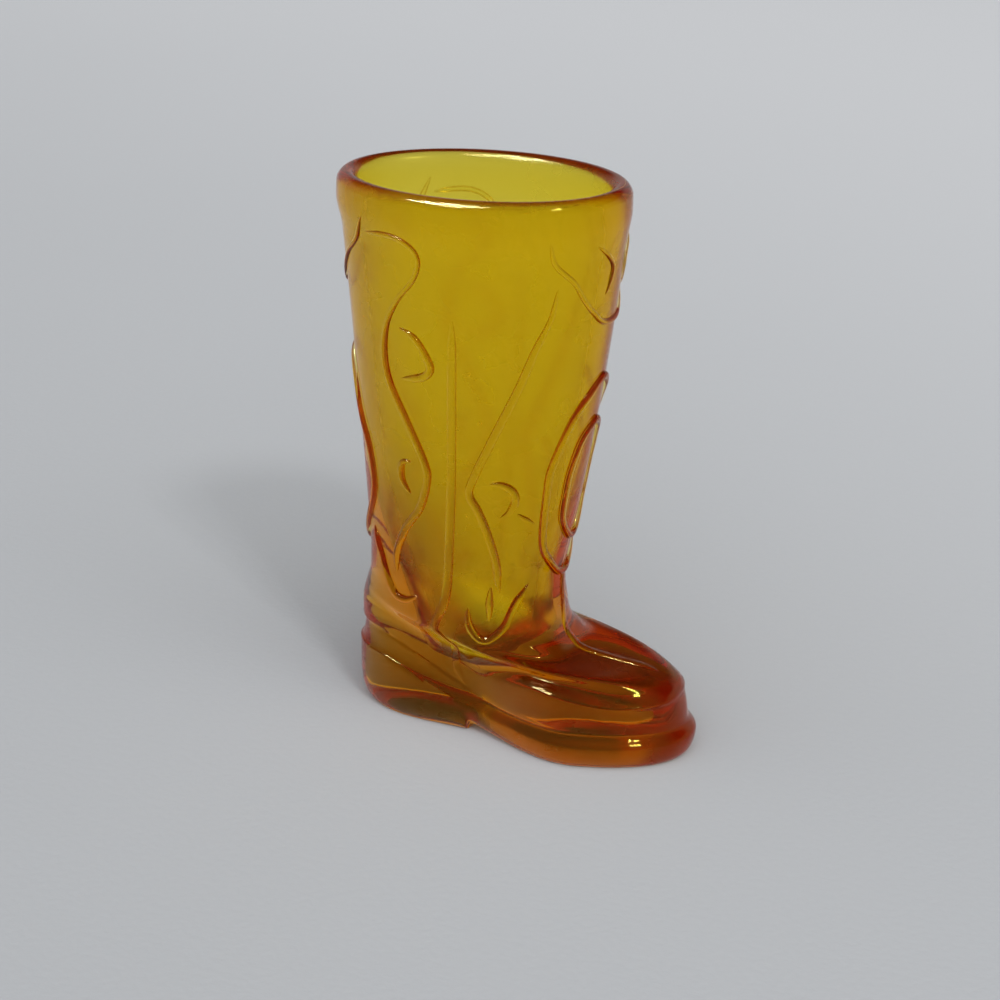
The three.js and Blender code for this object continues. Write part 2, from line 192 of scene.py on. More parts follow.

# %% [markdown]
# ## The sheet
#
# The boot stands on a pale grey sheet that fills the picture. Clear glass has no colour of its
# own to light: it shows what is behind it, dimmed by what it soaks up. So the sheet is half of
# the look, because it makes the walls glow yellow. It could be a picture of paper, but two
# noises need no file: a fine one for the fibres and a wide one for uneven tone. It is quite
# matt, so that it mirrors no lamp. Painted light makes it paler towards the back and the right,
# where the room lights it more strongly.

# %% Sheet of paper under the boot
SHEET_HALF = 3.0
SHEET_GAP = 0.05 * MM
NEAR_GREY = (0.508, 0.523, 0.541, 1)
NEAR_PALE = (0.566, 0.582, 0.602, 1)
# The far colour is painted light: the sheet turns paler towards the back and the right, standing in for
# the stronger light that falls there.
FAR_PAINTED_LIGHT = (0.705, 0.717, 0.735, 1)
PAINTED_LIGHT_FADE, PAINTED_LIGHT_RIGHT = (-0.15, 0.5), 0.45
FIBRE_SHARE, CLOUD_SHARE = 0.35, 0.65
sheet_mesh = bpy.data.meshes.new("sheet")
sheet_mesh.from_pydata(
    [(x * SHEET_HALF, y * SHEET_HALF, -SHEET_GAP) for x, y in ((-1, -1), (1, -1), (1, 1), (-1, 1))],
    [], [(0, 1, 2, 3)])
sheet = bpy.data.objects.new("sheet", sheet_mesh)
bpy.context.scene.collection.objects.link(sheet)

paper = bpy.data.materials.new("paper")
tree = Tree(paper)
place = tree.node("ShaderNodeTexCoord", output="Object")
fibre = tree.node("ShaderNodeTexNoise", {}, {"Vector": place, "Scale": 900.0, "Detail": 3.0})
cloud = tree.node("ShaderNodeTexNoise", {}, {"Vector": place, "Scale": 6.0, "Detail": 2.0})
to_right = tree.node("ShaderNodeSeparateXYZ", {}, {0: place}, output="X")
away = tree.node("ShaderNodeSeparateXYZ", {}, {0: place}, output="Y")
shade = tree.blend(fibre * FIBRE_SHARE + cloud * CLOUD_SHARE, NEAR_GREY, NEAR_PALE)
# Painted light: the tone is blended towards the far, paler colour towards the back and the right.
shade = tree.blend((away + to_right * PAINTED_LIGHT_RIGHT).above(*PAINTED_LIGHT_FADE), shade, FAR_PAINTED_LIGHT)
bumps = tree.node("ShaderNodeBump", {}, {"Strength": 0.15, "Distance": 0.0004, "Height": fibre})
matt = tree.node("ShaderNodeBsdfPrincipled", {}, {
    "Base Color": shade, "Roughness": 0.9, "Specular IOR Level": 0.0, "Normal": bumps})
tree.node("ShaderNodeOutputMaterial", {}, {"Surface": matt})
sheet_mesh.materials.append(paper)
print("paper sheet", SHEET_HALF * 2, "m across")

# %% [markdown]
# ## The room
#
# A photograph like this is lit by a soft room. A picture of a room could be wrapped round the
# scene, but a world of a few tones is enough, and each tone has its reason. Behind the boot the
# wall is pale below and dark above, and the dark part gives the foot its deep bands. On the
# camera's side the room is bright, most of all at the upper right, and lights the sheet. Where
# the glass shows that side it is dimmer, or the surface would look milky. On the left hangs a
# blind whose slats give the streaks on the toe and the welt. It shows only in mirrored rays,
# so it lights nothing else. The glass tints what it mirrors, and the blind is blue so that its
# streaks still come out white.

# %% Room light and a blind
PALE_BACKDROP = (0.45, 0.46, 0.47, 1)
DARK_BACK = (0.04, 0.041, 0.043, 1)
SOFT_FRONT = (0.70, 0.71, 0.73, 1)
BRIGHT_SIDE = (1.9, 1.9, 1.9, 1)
DIM_FRONT = (0.38, 0.38, 0.39, 1)
BLIND_LIGHT = (52.0, 57.0, 140.0, 1)
SLATS = ((0.70, 0.77), (0.80, 0.855), (0.875, 0.92))
SLAT_EDGE = 0.02
WALL_FADE, FRONT_TO_BACK = (0.34, 0.52), (-0.25, 0.35)
KEY_SPREAD, BLIND_SPREAD = (0.55, 1.0), (0.955, 0.97)
KEY_TURN, KEY_RISE = math.radians(48), math.radians(45)
BLIND_TURN, BLIND_RISE = math.radians(-44), math.radians(55)


def towards(turn, rise):
    """Unit vector from the boot, by the turn from the near side to the right and the rise."""
    level = math.cos(rise)
    return Vector((math.sin(turn) * level, -math.cos(turn) * level, math.sin(rise)))


world = bpy.data.worlds.new("room")
bpy.context.scene.world = world
tree = Tree(world)
direction = tree.node("ShaderNodeTexCoord", output="Generated")
to_back = tree.node("ShaderNodeSeparateXYZ", {}, {0: direction}, output="Y")
to_top = tree.node("ShaderNodeSeparateXYZ", {}, {0: direction}, output="Z")


def close_to(turn, rise):
    """Cosine of the angle between where a ray goes and a place in the room."""
    return tree.node("ShaderNodeVectorMath", {"operation": "DOT_PRODUCT"}, {
        0: direction, 1: towards(turn, rise)}, output="Value")


def slat(low, high):
    """1 in a level strip of the room between two heights, with soft edges."""
    return to_top.above(low, low + SLAT_EDGE) - to_top.above(high - SLAT_EDGE, high)


back_wall = tree.blend(to_top.above(*WALL_FADE), PALE_BACKDROP, DARK_BACK)
front = tree.blend(close_to(KEY_TURN, KEY_RISE).above(*KEY_SPREAD), SOFT_FRONT, BRIGHT_SIDE)
glossy_ray = tree.ray("Is Glossy Ray")
inner_ray = tree.ray("Is Transmission Ray")
front = tree.blend((glossy_ray + inner_ray).above(0, 1), front, DIM_FRONT)
room = tree.blend(to_back.above(*FRONT_TO_BACK), front, back_wall)
in_mirror = glossy_ray * (1 - inner_ray) * (1 - tree.ray("Diffuse Depth").above(0, 1))
slats = sum(slat(low, high) for low, high in SLATS)
blind = in_mirror * slats * close_to(BLIND_TURN, BLIND_RISE).above(*BLIND_SPREAD)
room = tree.blend(blind, room, BLIND_LIGHT)
glow = tree.node("ShaderNodeBackground", {}, {"Color": room, "Strength": 1.0})
tree.node("ShaderNodeOutputWorld", {}, {"Surface": glow})
print("room with a blind of", len(SLATS), "slats")

# %% [markdown]
# ## Window panes
#
# The white spots on the right of the rim and the toe are a window, parted by its bars. Each
# pane is an area lamp, because a lamp can be aimed and sized, and small panes give small crisp
# spots. Rays that pass through the glass do not see the panes. Light has to turn many corners
# inside the foot before it leaves, so the limits on bounces are raised here too.

# %% Window panes and bounces
PANE_DISTANCE, PANE_WIDTH, PANE_HEIGHT = 3.0, 0.07, 0.34
PANE_STEP = math.radians(3.5)
PANE_BRIGHTNESS = 220.0
GLASS_BOUNCES, MIRROR_BOUNCES = 48, 32


def window_pane(turn, rise):
    """A rectangular lamp that faces the boot, placed by angles round and above it."""
    lamp = bpy.data.lights.new("pane", "AREA")
    lamp.shape = "RECTANGLE"
    lamp.size = PANE_WIDTH
    lamp.size_y = PANE_HEIGHT
    lamp.energy = PANE_BRIGHTNESS * PANE_WIDTH * PANE_HEIGHT
    place = LOOK_AT + PANE_DISTANCE * towards(turn, rise)
    holder = bpy.data.objects.new("pane", lamp)
    holder.matrix_world = Matrix.Translation(place) @ (
        place - LOOK_AT).to_track_quat("Z", "Y").to_matrix().to_4x4()
    holder.visible_transmission = False
    bpy.context.scene.collection.objects.link(holder)


for pane in (-1, 0, 1):
    window_pane(KEY_TURN + PANE_STEP * pane, KEY_RISE)
cycles = bpy.context.scene.cycles
cycles.max_bounces = GLASS_BOUNCES
cycles.transmission_bounces = GLASS_BOUNCES
cycles.glossy_bounces = MIRROR_BOUNCES
print(len(bpy.data.lights), "window panes,", GLASS_BOUNCES, "bounces")

# %% [markdown]
# ## The boot as one grid
#
# A boot could be modelled by hand, or put together from simple solids. Here every ring round
# the boot is an oval with a back and a front point, and the whole glass is a stack of such
# rings: out from the middle of the underside, up the sole and heel, over the foot, up the leg,
# over the lip, and down inside to the floor of the well. So one grid covers everything and is
# closed from the start. Its first parameter goes along that path and its second goes round from
# the toe. Lengths are in millimetres, and x is measured forward from the back of the heel until
# the end.

# %% Sizes of the boot
HEIGHT = rim_high[2]
RIM_LENGTH = rim_high[0] - rim_low[0]
RIM_WIDTH = rim_high[1] - rim_low[1]
RIM_OVERHANG = heel_low[0] - rim_low[0]
LIP_LINE = rim_low[2]
ANKLE_LINE = leg_low[2]
SOLE_LENGTH = sole_high[0] - heel_low[0]
HEEL_LENGTH = heel_high[0] - heel_low[0]

RIM_TILT = 1.1
LIP_PROUD = 0.35
LIP_WALL = 3.4
LIP_ROUND = 2.0
LIP_WIDEST = HEIGHT - 4.0
CALF_HEIGHT, CALF_LENGTH, CALF_WIDTH, CALF_OVERHANG = 60.0, 40.15, 26.4, 0.2
ANKLE_HEIGHT, ANKLE_LENGTH, ANKLE_WIDTH, ANKLE_INSET = 28.0, 32.3, 21.6, 2.1
WALL = 3.4
WALL_GROWTH = 1.2
FLOOR_HEIGHT = 11.0
FLOOR_ROUND = 6.0
FLOOR_DRAW_BACK, FLOOR_DRAW_FRONT, FLOOR_DRAW_SIDE = 0.25, 1.35, 0.5
WELL_LEAN_TOP, WELL_LEAN_POWER = 42.0, 1.5
WELL_LEAN_BACK = 8.5

HEEL_OVAL, WAIST_OVAL, TOE_OVAL = 26.0, 18.2, 28.6
WAIST_FROM_HEEL, BALL_START, BALL_FROM_HEEL = 23.9, 22.2, 42.2
HEEL_CREST, SOLE_CREST = 10.3, 3.6
CREST_DROP_START, CREST_DROP_END = 5.7, 28.5
EDGE_INSET = 1.5
ARCH_RISE, ARCH_LENGTH = 1.4, 10.0
COUNTER_STEP, TOE_NOTCH = 0.8, 1.4
LEDGE_RISE, WELT_RISE = 3.4, 2.1
COUNTER_INSET = 0.4
TOE_SETBACK, TOE_BOX_HEIGHT = 2.3, 9.6
CROWN_SETBACK, CROWN_HEIGHT = 13.2, 13.9
INSTEP_POWER, DOME_POWER, BLUNT_POWER = 0.64, 0.9, 0.5
WELT_INSET = 1.1
TOE_BOX_START, TOE_DIP = (24.0, 36.0), (36.0, 51.0)
COLUMNS, COARSE, HALFWAY = 256, 4, 2
WELL_COLUMNS = COLUMNS // COARSE
print("height %.1f, rim %.1f x %.1f, sole %.1f mm" % (HEIGHT, RIM_LENGTH, RIM_WIDTH, SOLE_LENGTH))

# %% [markdown]
# ## Curves and rings
#
# A few small formulas come back in every part of the boot: a smooth step, a curve through a few
# points, and angles that step evenly round an oval, so that the narrow toe gets no finer a grid
# than the sides. A ring is an oval that can take on the outline of the sole, and that can be
# squared off in front or at the back, as the toe and the end of the plunger are.

# %% Curves that the shapes share


def mix(a, b, share):
    """The value a share of the way from a to b."""
    return a + (b - a) * share


def smooth(value, low, high):
    """Smooth step: 0 up to low, 1 from high on, level at both ends."""
    t = np.clip((value - low) / (high - low), 0, 1)
    return t * t * (3 - 2 * t)


def through(points, count, closed=False):
    """Smooth curve through points, as count samples evenly spread over the point number.

    Each stretch is a cubic whose slope at a point is half the step between its neighbours.
    """
    points = np.asarray(points, float)
    last = len(points) if closed else len(points) - 1
    ends = (points[-1:], points[:2]) if closed else (
        2 * points[:1] - points[1:2], 2 * points[-1:] - points[-2:-1])
    padded = np.concatenate([ends[0], points, ends[1]])
    at = np.linspace(0, last, count, endpoint=not closed)
    k = np.minimum(at.astype(int), last - 1)
    t = (at - k)[:, None]
    before, a, b, after = (padded[k + i] for i in range(4))
    return 0.5 * (2 * a + (b - before) * t + (2 * before - 5 * a + 4 * b - after) * t**2
                  + (3 * a - before - 3 * b + after) * t**3)


def even_angles(columns, length, width):
    """Angles from the toe that step evenly along an oval.

    The arc length is summed over a fine set of angles, and then read backwards.
    """
    fine = np.linspace(0, 2 * np.pi, 20 * columns + 1)
    speed = np.hypot(length * np.sin(fine), width * np.cos(fine))
    arc = np.concatenate([[0], np.cumsum((speed[1:] + speed[:-1]) / 2)])
    return np.interp(np.arange(columns) / columns * arc[-1], arc, fine)


angle = even_angles(COLUMNS, CALF_LENGTH, CALF_WIDTH)
along = (1 + np.cos(angle)) / 2
from_heel = along * SOLE_LENGTH
print(COLUMNS, "columns, widest step", round(float(np.degrees(np.diff(angle).max())), 2), "degrees")

# %% Rings of the boot


def sole_oval(distance):
    """Breadth of the sole this far from the heel, before its two ends are rounded.

    It narrows from the heel to the waist and widens again to the ball, in two smooth steps.
    """
    waist = (WAIST_OVAL - HEEL_OVAL) * smooth(distance, 0, WAIST_FROM_HEEL)
    ball = (TOE_OVAL - WAIST_OVAL) * smooth(distance, BALL_START, BALL_FROM_HEEL)
    return HEEL_OVAL + waist + ball


SECTION = ("back_x", "back_z", "front_x", "front_z", "half", "foot", "inset", "blunt", "lift", "square")
PLAIN = len(SECTION) - SECTION.index("foot")


def rings(sections):
    """Points of a stack of sections, one row each, for every column.

    A section is an oval between its back and front points. Where foot is 1 its breadth is that
    of the sole drawn in by the welt, and by inset on the toe box, and its height drops from heel
    to ball as the sole's does. blunt lowers the power of the sine in its front half, which squares
    the oval off, and square does so in its back half. lift raises the shoulder of the toe box
    behind the toe.
    """
    s = {name: column[:, None] for name, column in zip(SECTION, np.asarray(sections, float).T)}
    drawn_in = mix(WELT_INSET, s["inset"], smooth(from_heel, *TOE_BOX_START))
    half = mix(s["half"], sole_oval(from_heel) / 2 - drawn_in, s["foot"])
    climb = mix(along, smooth(from_heel, CREST_DROP_START, CREST_DROP_END), s["foot"])
    squared = s["blunt"] * smooth(along, 0.5, 1) + s["square"] * smooth(-along, -0.5, 0)
    power = mix(1, BLUNT_POWER, squared)
    side = np.sign(np.sin(angle)) * np.abs(np.sin(angle)) ** power
    x = mix(s["back_x"], s["front_x"], along)
    hump = smooth(from_heel, *TOE_BOX_START) * (1 - smooth(from_heel, *TOE_DIP))
    z = mix(s["back_z"], s["front_z"], climb) + s["lift"] * hump
    return np.stack([x, half * side, z], -1)


def sole_ring(inset, height):
    """Ring on the sole's outline, drawn in by inset, at a height; both may vary by column."""
    x = mix(inset, SOLE_LENGTH - inset, along)
    y = (sole_oval(from_heel) / 2 - inset) * np.sin(angle)
    return np.stack(np.broadcast_arrays(x, y, height), -1)


print("a section has", len(SECTION), "numbers")

# %% [markdown]
# ## Sole and heel
#
# The forepart of the sole is a rounded bead, like the edge of a thick boot sole. The heel is a
# block with an almost upright side and a ledge above it. They could be two solids that are
# united, but then the crease between them would be hard. So both come from one formula with two
# profiles, and the weight of the second grows across the heel's front face. In front of that
# face the underside rises into a low arch.

# %% Underside, sole edge and welt
BEAD_TURN = math.radians(75)
HEEL_EDGE_POWER = 6
HEEL_FACE_SPREAD = 3
in_sole = smooth(from_heel, HEEL_LENGTH - HEEL_FACE_SPREAD, HEEL_LENGTH + HEEL_FACE_SPREAD)
crest = mix(HEEL_CREST, SOLE_CREST, smooth(from_heel, CREST_DROP_START, CREST_DROP_END))
rise = mix(LEDGE_RISE, WELT_RISE, smooth(from_heel, CREST_DROP_START, CREST_DROP_END))
crease_step = mix(COUNTER_STEP, TOE_NOTCH, along)


def arch(x):
    """Height of the underside: a parabola that falls from the heel's front face to the ground."""
    share = np.clip((x - HEEL_LENGTH) / ARCH_LENGTH, 0, 1)
    return np.where(x > HEEL_LENGTH, ARCH_RISE * (1 - share) ** 2, 0.0)


def sole_side(s):
    """From the base edge (s = 0) to the crest (s = 1).

    Sole: part of an oval, by its angle. Heel: an inset that dies away as a power of height.
    """
    turn = (1 - s) * BEAD_TURN
    bead_inset = EDGE_INSET * (1 - np.cos(turn)) / (1 - math.cos(BEAD_TURN))
    bead_height = 1 - np.sin(turn) / math.sin(BEAD_TURN)
    inset = mix(EDGE_INSET * (1 - s) ** HEEL_EDGE_POWER, bead_inset, in_sole)
    share = mix(s, bead_height, in_sole)
    foot_height = arch(mix(inset, SOLE_LENGTH - inset, along))
    return sole_ring(inset, mix(foot_height, crest, share))


def welt(s):
    """From the crest (s = 0) to the crease (s = 1): on the sole a soft double curve, as half a
    cosine wave, and over the heel a hollow ledge, as a quarter turn."""
    turn = s * math.pi / 2
    inset = crease_step * mix(np.sin(turn), (1 - np.cos(2 * turn)) / 2, in_sole)
    climb = rise * mix(1 - np.cos(turn), s, in_sole)
    return sole_ring(inset, crest + climb)


edge_steps = np.linspace(0, 1, 11)[:, None] ** 1.4
side_rows = sole_side(edge_steps)
welt_rows = welt(np.linspace(0, 1, 8)[1:, None])
spread = np.linspace(0, 1, 5)[:-1, None]
base_rows = np.stack([
    np.broadcast_to(side_rows[0, :, 0], (len(spread), COLUMNS)),
    spread * side_rows[0, :, 1],
    np.broadcast_to(side_rows[0, :, 2], (len(spread), COLUMNS))], -1)
print("underside, sole and welt:", len(base_rows) + len(side_rows) + len(welt_rows), "rows")

# %% [markdown]
# ## Leg, lip and well
#
# The leg widens upwards, as a parabola through its ankle, calf and rim. The lip is half an oval
# in cross-section. The well is what the plunger leaves: it keeps a wall's thickness inside the
# leg, leans forward and grows squarer lower down, and ends in a rounded floor. A Solidify
# modifier could give the wall, but only an even one, and the yellow zone of the glass shows
# that the well has a shape of its own.

# %% Sections of the leg and the well


def through_three(z, low, middle, high):
    """Value at z of the parabola through three heights."""
    (z0, v0), (z1, v1), (z2, v2) = low, middle, high
    slope = (v1 - v0) / (z1 - z0)
    bend = ((v2 - v1) / (z2 - z1) - slope) / (z2 - z0)
    return v0 + slope * (z - z0) + bend * (z - z0) * (z - z1)


def leg_sections(z, inset=0.0, top=None):
    """Sections of the leg at heights z, drawn in by inset; upright below the ankle.

    The rim is tilted: towards it, the back of each section drops below its front. With top,
    the sections keep the shape they have at z and are moved to the heights in top.
    """
    held = np.maximum(z, ANKLE_HEIGHT)

    def at(ankle, calf, rim):
        return through_three(held, (ANKLE_HEIGHT, ankle), (CALF_HEIGHT, calf), (LIP_WIDEST, rim))

    near_rim = smooth(z, LIP_LINE, LIP_WIDEST)
    swell = LIP_PROUD * near_rim - inset
    back = at(ANKLE_INSET, -CALF_OVERHANG, LIP_PROUD - RIM_OVERHANG) - swell
    front = at(ANKLE_INSET + ANKLE_LENGTH, CALF_LENGTH - CALF_OVERHANG,
               RIM_LENGTH - RIM_OVERHANG - LIP_PROUD) + swell
    half = at(ANKLE_WIDTH / 2, CALF_WIDTH / 2, RIM_WIDTH / 2 - LIP_PROUD) + swell
    height = z if top is None else top
    nothing = np.zeros_like(half)
    return np.stack(np.broadcast_arrays(
        back, height - RIM_TILT * near_rim, front, height, half, *[nothing] * PLAIN), -1)


def well_sections(z):
    """Sections of the well: the leg's, drawn in by the wall on the front, the back and the sides.

    The wall grows a little downwards. Under WELL_LEAN_TOP the back of the well leans forward
    as a power of depth and grows squarer, as the end of the plunger does.
    """
    lip = (LIP_WALL + LIP_PROUD - WALL) * smooth(z, LIP_LINE, LIP_WIDEST)
    wall = WALL + lip + WALL_GROWTH * (1 - smooth(z, FLOOR_HEIGHT, CALF_HEIGHT))
    depth = np.clip((WELL_LEAN_TOP - z) / (WELL_LEAN_TOP - FLOOR_HEIGHT), 0, 1)
    sections = leg_sections(z)
    sections[:, SECTION.index("back_x")] += wall + WELL_LEAN_BACK * depth**WELL_LEAN_POWER
    sections[:, SECTION.index("front_x")] -= wall
    sections[:, SECTION.index("half")] -= wall
    sections[:, SECTION.index("square")] = depth**WELL_LEAN_POWER
    return sections


def floor_sections(turn):
    """Corner between the wall of the well and its floor, by its turn: a quarter oval that is
    long in front, as the end of the plunger is, and short at the back."""
    sections = np.repeat(well_sections(np.array([FLOOR_HEIGHT + FLOOR_ROUND])), len(turn), 0)
    draw_in = FLOOR_ROUND * (1 - np.cos(turn))
    drop = FLOOR_ROUND * np.sin(turn)
    for name, change in (("back_x", FLOOR_DRAW_BACK * draw_in), ("front_x", -FLOOR_DRAW_FRONT * draw_in),
                         ("half", -FLOOR_DRAW_SIDE * draw_in), ("back_z", -drop), ("front_z", -drop)):
        sections[:, SECTION.index(name)] += change
    return sections


leg_z = np.linspace(ANKLE_LINE, LIP_LINE, 101)[1:]
flare_z = np.linspace(LIP_LINE, LIP_WIDEST, 13)[1:]
lip_turn = np.linspace(0, np.pi, 14)
lip_inset = LIP_WALL / 2 * (1 - np.cos(lip_turn))
lip_z = HEIGHT - LIP_ROUND * (1 - np.sin(lip_turn))
well_z = np.linspace(LIP_WIDEST, FLOOR_HEIGHT + FLOOR_ROUND, 40)

leg_rows = rings(leg_sections(leg_z))
flare_rows = rings(leg_sections(flare_z))
lip_rows = rings(leg_sections(np.full_like(lip_z, LIP_WIDEST), lip_inset, lip_z))
well_rows = rings(well_sections(well_z))
round_rows = rings(floor_sections(np.linspace(0, np.pi / 2, 13)[1:]))
floor_rows = round_rows[-1] * np.stack(
    [np.ones(5), np.linspace(1, 0, 6)[1:], np.ones(5)], -1)[:, None, :]
print("leg, lip and well:", sum(map(len, (
    leg_rows, flare_rows, lip_rows, well_rows, round_rows, floor_rows))), "rows")

# %% [markdown]
# ## Foot
#
# The foot of a western boot is a flat toe box with a soft shoulder along each side, a crown
# where the vamp starts to climb, and a hollow instep up to the ankle. It could be sculpted, but
# a few key sections say the same in numbers that can be changed one at a time. Each has a front
# point on the toe's outline, how far it has climbed at the back, how much it still follows the
# sole, how far its sides are drawn in, how blunt its toe is and how high its shoulder is lifted.

# %% Sections of the foot
FOOT_ROWS = 61
SIDE_BULGE = 0.1
COUNTER_CLIMB = (0.3, 1)
TOE_X = SOLE_LENGTH - TOE_SETBACK
CROWN_X = SOLE_LENGTH - CROWN_SETBACK
ankle = dict(zip(SECTION, leg_sections(np.array([ANKLE_LINE]))[0]))
crease_front = (SOLE_LENGTH - TOE_NOTCH, SOLE_CREST + WELT_RISE)
crease_back_z = HEEL_CREST + LEDGE_RISE


def dome(degrees):
    """Front of the toe box: a quarter superoval from the toe (0) to the crown of the vamp (90)."""
    turn = math.radians(degrees)
    return (mix(CROWN_X, TOE_X, max(math.cos(turn), 0) ** DOME_POWER),
            mix(TOE_BOX_HEIGHT, CROWN_HEIGHT, math.sin(turn) ** DOME_POWER))


def instep(degrees):
    """Hollow curve from the crown (90) up to the front of the ankle (0), as a superoval."""
    turn = math.radians(degrees)
    return (mix(CROWN_X, ankle["front_x"], math.cos(turn) ** INSTEP_POWER),
            mix(ANKLE_LINE, CROWN_HEIGHT, math.sin(turn) ** INSTEP_POWER))


def foot_section(front, climb, foot, inset, blunt, lift=0.0):
    """Section with this front point, at a share of the way up the back of the foot."""
    back_x = mix(COUNTER_INSET, ankle["back_x"], smooth(climb, *COUNTER_CLIMB))
    back_z = mix(crease_back_z, ANKLE_LINE, climb)
    return (back_x, back_z, *front, ANKLE_WIDTH / 2, foot, inset, blunt, lift, 0.0)


side_front = ((crease_front[0] + TOE_X) / 2 + SIDE_BULGE, (crease_front[1] + TOE_BOX_HEIGHT) / 2)
foot_keys = [
    (COUNTER_STEP, crease_back_z, *crease_front, ANKLE_WIDTH / 2, 1, 1.1, 0, 0, 0),
    foot_section(side_front, 0.07, 1.0, 1.0, 0.1, 0.4),
    foot_section(dome(0), 0.13, 1.0, 1.05, 0.25, 1.3),
    foot_section(dome(7), 0.17, 1.0, 1.3, 0.35, 1.7),
    foot_section(dome(14), 0.20, 0.97, 2.2, 0.38, 1.75),
    foot_section(dome(26), 0.26, 0.9, 3.2, 0.4, 1.3),
    foot_section(dome(45), 0.35, 0.72, 3.4, 0.5, 0.6),
    foot_section(dome(66), 0.45, 0.45, 2.4, 0.6, 0.2),
    foot_section(dome(90), 0.55, 0.2, 1.1, 0.8),
    foot_section(instep(65), 0.66, 0.05, 1.1, 0.9),
    foot_section(instep(45), 0.77, 0, 1.1, 0.9),
    foot_section(instep(25), 0.88, 0, 1.1, 0.5),
    tuple(ankle.values()),
]
foot_rows = rings(through(foot_keys, FOOT_ROWS))[1:]
print("foot:", len(foot_rows), "rows through", len(foot_keys), "key sections")

# %% [markdown]
# ## Raised lines
#
# The mould is cut with the stitching of a western boot: scrolls and curls down both sides,
# leaves on the front and back, wide V collars under the rim, and seams. On the glass they are
# low ridges. They could be drawn flat and wrapped round the leg. Here a place on the leg is a
# pair of numbers, degrees round from the toe and percent of the way from the ankle to the lip,
# so a route stays on the skin when the leg changes shape.

# %% Routes of the lines
FRONT_LEAF = [(4, 65), (13, 62), (24, 55), (33, 42), (34, 34), (31, 18), (22, 11), (8, 6)]
FRONT_LEAF_INNER = [(4, 52), (14, 48), (19, 40), (20, 33), (18, 24), (6, 17.5)]
BACK_LEAF = [(176, 65), (162, 61), (150, 48), (140, 39), (137, 28), (145, 19), (160, 11), (173, 6)]
FRONT_COLLAR = [(47, 107), (44, 101), (34, 95.5), (27, 90), (20, 86), (10, 82.5)]
BACK_COLLAR = [(128, 108), (135, 101), (145, 96), (158, 89), (170, 84)]
FRONT_SEAM = [(0, 8), (0, -2), (0, -10), (0, -16), (0, -19), (0, -20.7)]
SIDE_FIGURES = {
    "front_scroll": [(42, 94), (44, 86), (50, 77), (56, 66), (64, 54), (74, 38.5), (76, 33),
                     (71, 28), (65, 21), (58, 11), (55, 2)],
    "front_stem": [(60, 4), (61.5, -6.5)],
    "front_cup": [(73.5, -3), (73.5, -8), (70, -12), (62.5, -11.5), (52.5, -8), (45, -1.5), (36, 4.5)],
    "front_curl": [(66, 36.5), (60, 36.5), (54, 34.5), (52, 31.5), (54.5, 28), (59, 26)],
    "front_tendril": [(50, 27.5), (46, 26), (39, 24)],
    "front_plume": [(23, 105), (14, 101.5), (9.5, 98), (11, 93), (13, 90.5)],
    "rear_scroll": [(127, 104), (112, 105), (103, 103), (100, 99), (103, 93.5), (111, 87),
                    (118, 79), (120.5, 70), (118, 62), (109, 52), (99, 40), (98, 34.5),
                    (102, 26), (111, 18.5), (118, 10), (119, 3)],
    "rear_cup": [(142, 14), (134, 7), (127.5, 0.5), (120, -4), (112, -4.5), (104, -2.5)],
    "rear_curl_upper": [(111, 79), (103, 77), (97, 71.5), (96, 68.5), (100, 66), (111, 64)],
    "rear_curl_lower": [(107, 39.5), (111.5, 39), (113.5, 36.5), (112.5, 33), (107.5, 29.5)],
    "side_seam": [(86, 84), (86, 62), (85, 20), (86, 0), (97, -12), (106, -22), (104, -30)],
}


def mirrored(half, centre):
    """Both halves of a figure that is centred on the front or the back of the leg."""
    return list(half) + [(2 * centre - degrees, percent) for degrees, percent in half[::-1]]


lines = {
    "front_leaf": (mirrored(FRONT_LEAF, 0), True),
    "front_leaf_inner": (mirrored(FRONT_LEAF_INNER, 0), True),
    "back_leaf": (mirrored(BACK_LEAF, 180), True),
    "front_collar": (mirrored(FRONT_COLLAR, 0), False),
    "back_collar": (mirrored(BACK_COLLAR, 180), False),
    "front_seam": (FRONT_SEAM, False),
}
for name, route in SIDE_FIGURES.items():
    lines[name + "_left"] = (route, False)
    lines[name + "_right"] = ([(-degrees, percent) for degrees, percent in route], False)
print(len(lines), "lines")

# %% [markdown]
# ## Where a line lies
#
# A line has to lie on the glass, and stand out square to it. The grid of the outside already
# holds that: its points give the place, and the cross product of its two steps gives the
# direction outwards. Both are read between the nearest columns and rows.

# %% Places on the outside of the boot
outer_rows = np.concatenate([foot_rows, leg_rows, flare_rows])


def grid_normals(points):
    """Unit normals of a grid that closes round: the cross product of its two steps."""
    around = np.roll(points, -1, 1) - np.roll(points, 1, 1)
    normal = np.cross(around, np.gradient(points, axis=0))
    return normal / np.linalg.norm(normal, axis=-1, keepdims=True)


outer_normals = grid_normals(outer_rows)


def surface_at(degrees, height):
    """Points and normals of the outside at places given by turn from the toe and height.

    The grid is read between its two nearest columns, and then between its two nearest rows.
    """
    column = np.interp(np.radians(degrees) % (2 * np.pi), np.append(angle, 2 * np.pi),
                       np.arange(COLUMNS + 1))
    left = column.astype(int) % COLUMNS
    share = (column % 1)[:, None]
    points = mix(outer_rows[:, left], outer_rows[:, (left + 1) % COLUMNS], share)
    normals = mix(outer_normals[:, left], outer_normals[:, (left + 1) % COLUMNS], share)
    place = np.arange(len(column))
    high = np.clip((points[..., 2] < height).sum(0), 1, len(points) - 1)
    low_z, high_z = points[high - 1, place, 2], points[high, place, 2]
    up = np.clip((height - low_z) / (high_z - low_z), 0, 1)[:, None]
    return (mix(points[high - 1, place], points[high, place], up),
            mix(normals[high - 1, place], normals[high, place], up))


print("outside grid", outer_rows.shape[:2])

